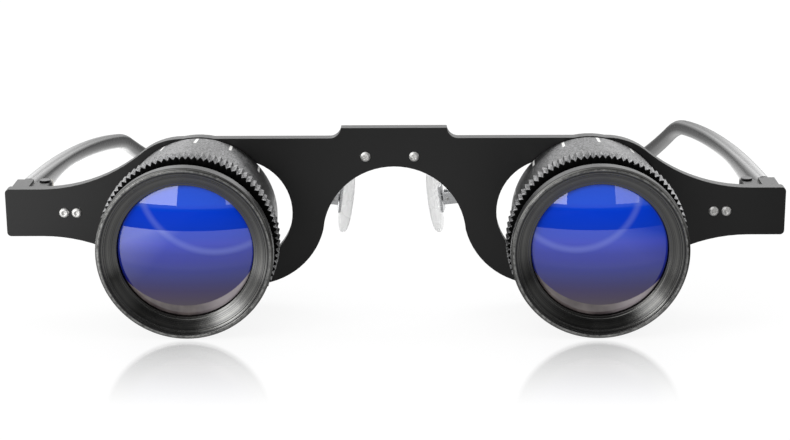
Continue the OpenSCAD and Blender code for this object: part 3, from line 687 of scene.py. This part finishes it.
for side, k in sides.items():
    addPiece(side + "_rivet_pair", [rivet(k * x) for x in rivetSize["atX"]], "frame", [side + "_rivets"],
             plated)
addPiece("bridge_screw_pair", [screwHead(x) for x in screwSize["atX"]], "frame", ["bridge_screws"],
         plated)
print("fasteners done")

# the slope past the bend and the droop from the hinge are in degrees, as photographed for each side
arm = dict(hinge=(68.3, 8.4), length=78.0, tipLong=33.0, tipR=2.1, frontH=8.8, thinH=3.4, flare=34.0, fall=2.2,
           frontT=3.2, backT=2.5, topZ=4.4, inner=1.9, bow=400.0, bend=40.0, lean=4.0, tuck=0.0028,
           tuckLong=4.0, power=3.0, frontRound=0.5, slope={"left": 29.5, "right": 24.5},
           droop={"left": -0.7, "right": 1.35})


# temple, in side view: the top edge is a long parabola z = top - y^2 / 2 bow, then a circle over the ear,
# then a straight end that swells to a round tip. The height falls from frontH to thinH as
# (1 - y / flare)^fall, and all is turned down by the droop. The section is a rounded oblong
def temple(side):
    a = arm
    y = a["length"] * np.linspace(0, 1, 60) ** 1.3      # closer steps near the hinge
    tall = a["thinH"] + (a["frontH"] - a["thinH"]) * np.maximum(0, 1 - y / a["flare"]) ** a["fall"]
    straight = np.stack([y, a["topZ"] - y ** 2 / (2 * a["bow"]) - tall / 2], -1)
    straightHalf = np.stack([np.zeros_like(y), tall / 2], -1)

    slope0, slope1 = np.arctan(a["length"] / a["bow"]), np.radians(a["slope"][side])
    turn = np.linspace(slope0, slope1, 26)[1:]
    bendZ = a["topZ"] - a["length"] ** 2 / (2 * a["bow"]) - a["thinH"] / 2
    curve = np.stack([a["length"] + a["bend"] * (np.sin(turn) - np.sin(slope0)),
                      bendZ - a["bend"] * (np.cos(slope0) - np.cos(turn))], -1)
    out = np.stack([np.sin(turn), np.cos(turn)], -1)

    along = np.array([np.cos(slope1), -np.sin(slope1)])
    s = np.linspace(0, 1, 20)[1:, None]
    line = curve[-1] + along * a["tipLong"] * s
    lineHalf = out[-1] * (a["thinH"] / 2 + (a["tipR"] - a["thinH"] / 2) * s)
    cap = np.linspace(0, np.pi / 2, 9)[1:, None]
    capCos = np.maximum(np.cos(cap), 1e-4)
    end = line[-1] + along * a["tipR"] * np.sin(cap)
    endHalf = out[-1] * a["tipR"] * capCos

    drop = np.radians(a["droop"][side])
    hang = np.array([[np.cos(drop), -np.sin(drop)], [np.sin(drop), np.cos(drop)]])
    centre = np.vstack([straight, curve, line, end]) @ hang
    half = np.vstack([straightHalf, out * a["thinH"] / 2, lineHalf, endHalf]) @ hang
    share = np.minimum(1, centre[:, 0] / a["length"])
    halfWide = (a["frontT"] - (a["frontT"] - a["backT"]) * share) / 2
    halfWide[-len(cap):] *= capCos[:, 0] ** 0.6
    tuckIn = a["tuck"] * np.maximum(0, centre[:, 0] - a["length"] + a["tuckLong"]) ** 2
    path = np.stack([a["inner"] + a["frontT"] / 2 - tuckIn, centre[:, 0], centre[:, 1]], -1)
    up = np.stack([np.zeros(len(half)), half[:, 0], half[:, 1]], -1)

    # the front end closes with a quarter round
    quarter = np.linspace(0, np.pi / 2, 6)[:-1]
    inset = a["frontRound"] * (1 - np.sin(quarter))
    frontPath = path[:1] + np.outer(a["frontRound"] * (1 - np.cos(quarter)), [0, 1, 0])
    frontUp = up[:1] * (1 - inset[:, None] / np.linalg.norm(up[0]))
    path = np.vstack([path[:1], frontPath, path[:1] + [0, a["frontRound"], 0], path[1:]])
    up = np.vstack([up[:1] * 1e-4, frontUp, up])
    halfWide = np.concatenate([[1e-4], halfWide[0] - inset, halfWide])
    part = swept(path, np.tile([1.0, 0, 0], (len(path), 1)), up, halfWide, a["power"], 48)
    return mirrored(moved(part, rotation("Z", np.radians(a["lean"])), (*a["hinge"], 0)), side)


for side in sides:
    addPiece(side + "_temple_arm", [temple(side)], side + "_arm", [side + "_temple"],
             acetate, weighted=False)
print("temples done")

# both pads sit shifted a little to one side, as photographed; tilt and splay are in degrees
pad = dict(place=(11.2, 7.6, 0.9), tilt=-8.0, splay=-8.0, shift=-0.8, high=13.5, wide=7.2, thick=2.2, back=-1.6,
           faceR=80.0, edgePower=0.7, outlinePower=0.45)


# from the pad's own axes, where X faces away from the nose, to its place
def atPad(part, side):
    turn = rotation("Z", np.radians(pad["splay"])) @ rotation("Y", np.radians(pad["tilt"]))
    return moved(mirrored(moved(part, turn, pad["place"]), side), by=(pad["shift"], 0, 0))


# cushion: a pill outline shrunk by s from the rim to the middle; x = back or face + edge rounding,
# the face being a shallow dome x = face + d^2 / 2R
def padCushion(side):
    u = np.linspace(0, 2 * np.pi, 96, endpoint=False)[:, None]
    v = np.linspace(-np.pi / 2, np.pi / 2, 33)[None, :]
    r = pad["wide"] / 2
    s = np.maximum(np.abs(np.cos(v)), tiny) ** pad["outlinePower"]
    y = r * np.cos(u) * s
    z = (r * np.sin(u) + (pad["high"] / 2 - r) * np.tanh(4 * np.sin(u))) * s
    depth = np.sign(np.sin(v)) * np.abs(np.sin(v)) ** pad["edgePower"]
    face = pad["back"] - pad["thick"] + (y ** 2 + z ** 2) / (2 * pad["faceR"])
    x = pad["back"] + (face - pad["back"]) * (depth + 1) / 2
    return atPad(gridPart(np.stack(np.broadcast_arrays(x, y, z), -1), True, False), side)


padWire = dict(radius=0.5, through=[(7.4, 3.9, 10.5), (10.3, 4.6, 8.9), (12.7, 6.8, 5.0), (12.5, 7.6, 2.0)],
               foot=[(6, 3.4, 9.7), (8.4, 4.3, 12.1)], cheekY=1.15, cheekThick=0.7,
               cheek=[(-0.9, -1.1), (1.9, 1.3)], webX=1.15)


# pad arm: a wire on a smooth curve from a foot block to a clevis of two cheeks and a web, which holds the pad
def padArm(side):
    w = padWire
    wire = tube(w["through"], w["radius"])
    foot = roundedBlock(*w["foot"], 0.25)
    (lowX, lowZ), (highX, highZ) = w["cheek"]
    cheeks = [roundedBlock((lowX, y - w["cheekThick"] / 2, lowZ), (highX, y + w["cheekThick"] / 2, highZ), 0.12)
              for y in (-w["cheekY"], w["cheekY"])]
    web = roundedBlock((w["webX"], -1.4, lowZ), (highX, 1.4, highZ), 0.12)
    shifted = [moved(mirrored(part, side), by=(pad["shift"], 0, 0)) for part in (wire, foot)]
    return shifted + [atPad(part, side) for part in cheeks + [web]]


for side in sides:
    addPiece(side + "_pad_cushion", [padCushion(side)], side + "_nose_pad", [side + "_pad"],
             silicone, weighted=False)
    addPiece(side + "_pad_wire", padArm(side), "frame", [side + "_pad_arm"], wireMetal)
print("nose pads done")

# the glasses rest on the front rims and the temple tips, so the table leans back a little; half is in metres
table = dict(half=4.0, lean=-0.0668, at=(0, -21.1, -16.46), tone=0.14, glow=0.88,
             mirrorY=-28.0, mirrorFar=343.6, mirrorUp=94.4, mirrorX=6.1, rimUp=16.0, rimFrom=14.8, rimTo=16.2,
             fadeLong=42.0, fadeLevel=2.1, roomLevel=5.6, roomLong=(-260, 140), roomWide=(-150, 150),
             roomAhead=[(0.0, 0.1), (0.15, 0.16), (0.275, 0.5), (0.37, 0.85), (0.48, 0.7), (0.56, 0.15),
                        (0.61, 0.15), (0.65, 0.31), (0.705, 0.31), (0.71, 0.36), (0.941, 0.36), (0.948, 0.005)],
             roomAcross=[(0.2, 1.0), (0.32, 0.36), (0.7, 0.36), (0.86, 0.08)])


# lacquered table, pale: it glows evenly for the camera, keeps the object's shadow, and mirrors the two rims
def studioTable():
    t = table
    material, tree, shader, place = startMaterial("pale table, lacquered")
    place = addNode(tree, "SeparateXYZ", {0: place})
    ahead = addNode(tree, "Math", {0: float(origin[1]) + t["mirrorY"] * mm, 1: place.outputs[1]},
                    operation="SUBTRACT")
    rays = addNode(tree, "LightPath").outputs
    # a lacquered spot before each rim mirrors it: seen from the lens, the spot is the rim's disc upside down,
    # with k = far / (far - ahead), height up (k - 1) and width (x - mirrorX) k + mirrorX
    k = addNode(tree, "Math", {0: t["mirrorFar"] * mm, 1: ahead}, operation="SUBTRACT")
    k = addNode(tree, "Math", {0: t["mirrorFar"] * mm, 1: k}, operation="DIVIDE")
    height = addNode(tree, "Math", {0: k, 1: 1.0}, operation="SUBTRACT")
    height = addNode(tree, "Math", {0: height, 1: t["mirrorUp"] * mm, 2: -t["rimUp"] * mm},
                     operation="MULTIPLY_ADD")
    width = addNode(tree, "Math", {0: place.outputs[0], 1: t["mirrorX"] * mm}, operation="SUBTRACT")
    width = addNode(tree, "Math", {0: width, 1: k, 2: t["mirrorX"] * mm}, operation="MULTIPLY_ADD")
    width = addNode(tree, "Math", {0: width}, operation="ABSOLUTE")
    width = addNode(tree, "Math", {0: width, 1: eyeX * mm}, operation="SUBTRACT")
    flat = addNode(tree, "CombineXYZ", {0: width, 1: height})
    disc = addNode(tree, "VectorMath", {0: flat}, operation="LENGTH").outputs["Value"]
    spot = addNode(tree, "MapRange", {0: disc, 1: t["rimFrom"] * mm, 2: t["rimTo"] * mm, 3: 1.0, 4: 0.0},
                   interpolation_type="SMOOTHSTEP")
    fade = addNode(tree, "MapRange", {0: ahead, 1: 0.0, 2: t["fadeLong"] * mm, 3: t["fadeLevel"], 4: 0.0})
    fade = addNode(tree, "Math", {0: fade, 1: addNode(tree, "Fresnel", {0: 1.5})}, operation="MULTIPLY")
    near = addNode(tree, "Math", {0: spot, 1: fade}, operation="MULTIPLY")
    near = addNode(tree, "Math", {0: near, 1: rays["Is Camera Ray"]}, operation="MULTIPLY")
    soft = addNode(tree, "MapRange", {0: ahead, 1: 0.0, 2: t["fadeLong"] * mm, 3: 0.03, 4: 0.22})
    # polished pieces see the table close by, a dim room beyond it and less of it on the picture's right
    share = addNode(tree, "MapRange", {0: ahead, 1: t["roomLong"][0] * mm, 2: t["roomLong"][1] * mm})
    room = addNode(tree, "ValToRGB", {0: share}, t["roomAhead"])
    share = addNode(tree, "MapRange", {0: place.outputs[0], 1: t["roomWide"][0] * mm, 2: t["roomWide"][1] * mm})
    across = addNode(tree, "ValToRGB", {0: share}, t["roomAcross"])
    across = addNode(tree, "Math", {0: across, 1: t["roomLevel"]}, operation="MULTIPLY")
    room = addNode(tree, "VectorMath", {0: room, 3: across}, operation="SCALE")
    glossy = rays["Is Glossy Ray"]
    tone = addNode(tree, "MixRGB", {0: glossy, 1: grey(t["tone"]), 2: grey(0.0)})
    fillSockets(tree, shader, {"Base Color": tone, "Roughness": 0.5, "Specular IOR Level": 0.0})
    seen = addNode(tree, "Math", {0: rays["Is Camera Ray"], 1: rays["Is Transmission Ray"]},
                   operation="MAXIMUM")
    seen = addNode(tree, "Math", {0: seen, 1: t["glow"]}, operation="MULTIPLY")
    glow = addNode(tree, "MixRGB", {0: glossy, 1: seen, 2: room})
    lit = addNode(tree, "AddShader", {0: shader, 1: addNode(tree, "Emission", {0: glow})})
    gloss = addNode(tree, "BsdfGlossy", {"Color": grey(1.0), "Roughness": soft})
    both = addNode(tree, "MixShader", {0: near, 1: lit, 2: gloss})
    fillSockets(tree, tree.nodes["Material Output"], {0: both})
    return material


corners = np.array([(-1, -1, 0), (1, -1, 0), (1, 1, 0), (-1, 1, 0)]) * table["half"]
corners = corners @ rotation("X", np.arctan(table["lean"])).T + np.array(table["at"]) * mm + origin
tableMesh = bpy.data.meshes.new("table")
tableMesh.from_pydata(corners, [], [(0, 1, 2, 3)])
tableMesh.materials.append(studioTable())
plane = addObject("table", tableMesh)

# azimuth (0 straight in front, positive to the wearer's left) and elevation in degrees, distance, width and
# height in metres, and radiance
lamps = {"window left": (-20, 16.5, 4.0, 1.3, 1.4, 2.9), "window right": (18.5, 16.5, 4.0, 0.8, 1.4, 1.35),
         "key left": (-48, 29, 1.3, 0.5, 0.45, 5.0), "overhead": (180, 38, 1.3, 1.5, 0.6, 2.4)}
for name, (azimuth, elevation, distance, width, height, radiance) in lamps.items():
    a, e = np.radians([azimuth, elevation])
    back = Vector((np.sin(a) * np.cos(e), -np.cos(a) * np.cos(e), np.sin(e)))
    lamp = bpy.data.lights.new(name, "AREA")
    lamp.shape, lamp.size, lamp.size_y = "RECTANGLE", width, height
    lamp.energy = radiance * np.pi * width * height
    softbox = addObject(name, lamp)
    softbox.visible_camera = False
    softbox.location = Vector(origin) + back * distance
    softbox.rotation_euler = back.to_track_quat("Z", "Y").to_euler()

# levels in the world: behind, the backdrop rises from low at the horizon to high at the direction highZ, and
# is aside times as bright towards both sides; in front is a dim room with a paler band above the horizon
studio = dict(low=0.4, high=1.05, highZ=0.22, asideX=(0.1, 0.2), aside=1.9, diffuse=0.74,
              band=[(0.0, 0.01), (0.541, 0.01), (0.545, 0.28), (0.68, 0.28), (0.76, 0.05), (1.0, 0.05)])
world = bpy.data.worlds.new("studio")
bpy.context.scene.world = world
world.use_nodes = True
tree = world.node_tree
place = addNode(tree, "SeparateXYZ", {0: addNode(tree, "TexCoord").outputs["Generated"]}).outputs
rise = addNode(tree, "MapRange", {0: place[2], 1: -1.0, 2: 1.0})
front = addNode(tree, "ValToRGB", {0: rise}, studio["band"])
backdrop = addNode(tree, "MapRange", {0: place[2], 1: 0.0, 2: studio["highZ"], 3: studio["low"],
                                      4: studio["high"]})
aside = addNode(tree, "Math", {0: place[0]}, operation="ABSOLUTE")
aside = addNode(tree, "MapRange", {0: aside, 1: studio["asideX"][0], 2: studio["asideX"][1], 3: 1.0,
                                   4: studio["aside"]})
backdrop = addNode(tree, "Math", {0: backdrop, 1: aside}, operation="MULTIPLY")
# the backdrop reaches further forward on the left of the picture
turn = addNode(tree, "MapRange", {0: place[0], 1: -0.5, 2: 0.5, 3: 0.35, 4: -0.05})
behind = addNode(tree, "Math", {0: place[1], 1: turn}, operation="ADD")
behind = addNode(tree, "MapRange", {0: behind, 1: -0.3, 2: 0.1})
level = addNode(tree, "MixRGB", {0: behind, 1: front, 2: backdrop})
# the camera sees white, also through glass, and diffuse light comes evenly from all round
rays = addNode(tree, "LightPath").outputs
seen = addNode(tree, "Math", {0: rays["Is Camera Ray"], 1: rays["Is Transmission Ray"]}, operation="MAXIMUM")
level = addNode(tree, "MixRGB", {0: seen, 1: level, 2: grey(1.0)})
level = addNode(tree, "MixRGB", {0: rays["Is Diffuse Ray"], 1: level, 2: grey(studio["diffuse"])})
fillSockets(tree, tree.nodes["Background"], {0: level})

# fitted to the rivets, slots, arch and rims of the photograph; place in mm, angles in degrees, focal in pixels
view = dict(place=(6.12, -359.19, 100.74), yaw=-0.958, pitch=15.9, roll=-0.409, focal=1951.5, pixels=790,
            sensor=36, near=0.01, far=20)
yaw, pitch, roll = np.radians([view["yaw"], view["pitch"], view["roll"]])
ahead = np.array([np.sin(yaw) * np.cos(pitch), np.cos(yaw) * np.cos(pitch), -np.sin(pitch)])
right = np.array([np.cos(yaw), -np.sin(yaw), 0])
above = np.cross(right, ahead)
right, above = np.cos(roll) * right + np.sin(roll) * above, np.cos(roll) * above - np.sin(roll) * right
stand = np.eye(4)
stand[:3, :3] = np.stack([right, above, -ahead], -1)
stand[:3, 3] = np.array(view["place"]) * mm + origin
lens = bpy.data.cameras.new("camera")
lens.lens, lens.sensor_width = view["focal"] / view["pixels"] * view["sensor"], view["sensor"]
lens.clip_start, lens.clip_end = view["near"], view["far"]
camera = addObject("camera", lens)
camera.matrix_world = Matrix(stand.tolist())
bpy.context.scene.camera = camera
bpy.context.scene.view_settings.view_transform = "Standard"
print("stage, light and camera done")
